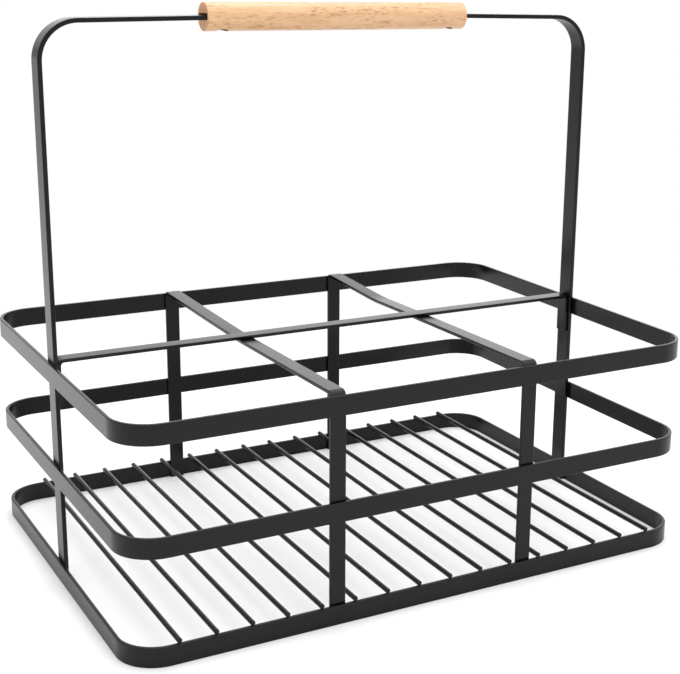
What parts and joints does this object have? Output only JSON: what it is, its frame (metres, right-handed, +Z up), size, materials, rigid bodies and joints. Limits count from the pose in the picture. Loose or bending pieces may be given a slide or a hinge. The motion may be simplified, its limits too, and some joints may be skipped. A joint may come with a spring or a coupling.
{
  "type": "bottle caddy",
  "caption": "Flat-bar metal bottle caddy with stacked hoops, divided cells, a floor of round rods and an arched handle with a turned wooden grip.",
  "frame": {"origin": "middle of the underside, on the surface that the base hoop stands on", "axes": "+X along the caddy's length and the handle's grip, +Y from front to back, +Z up"},
  "size_m": [0.38, 0.268, 0.3457],
  "materials": {
    "powder_coated_steel": "satin",
    "grip_wood": "smooth, bare",
    "screw_steel": "dull"
  },
  "bodies": {
    "root": {"base_hoop": "powder_coated_steel", "middle_hoop": "powder_coated_steel", "top_hoop": "powder_coated_steel", "base_rod_01": "powder_coated_steel", "base_rod_02": "powder_coated_steel", "base_rod_03": "powder_coated_steel", "base_rod_04": "powder_coated_steel", "base_rod_05": "powder_coated_steel", "base_rod_06": "powder_coated_steel", "base_rod_07": "powder_coated_steel", "base_rod_08": "powder_coated_steel", "base_rod_09": "powder_coated_steel", "base_rod_10": "powder_coated_steel", "base_rod_11": "powder_coated_steel", "base_rod_12": "powder_coated_steel", "base_rod_13": "powder_coated_steel", "base_rod_14": "powder_coated_steel", "base_rod_15": "powder_coated_steel", "base_rod_16": "powder_coated_steel", "divider_strap_left": "powder_coated_steel", "divider_strap_right": "powder_coated_steel", "crossbar": "powder_coated_steel", "handle_bow_left": "powder_coated_steel", "handle_bow_right": "powder_coated_steel", "wooden_grip": "grip_wood", "grip_screws": "screw_steel"}
  },
  "joints": []
}
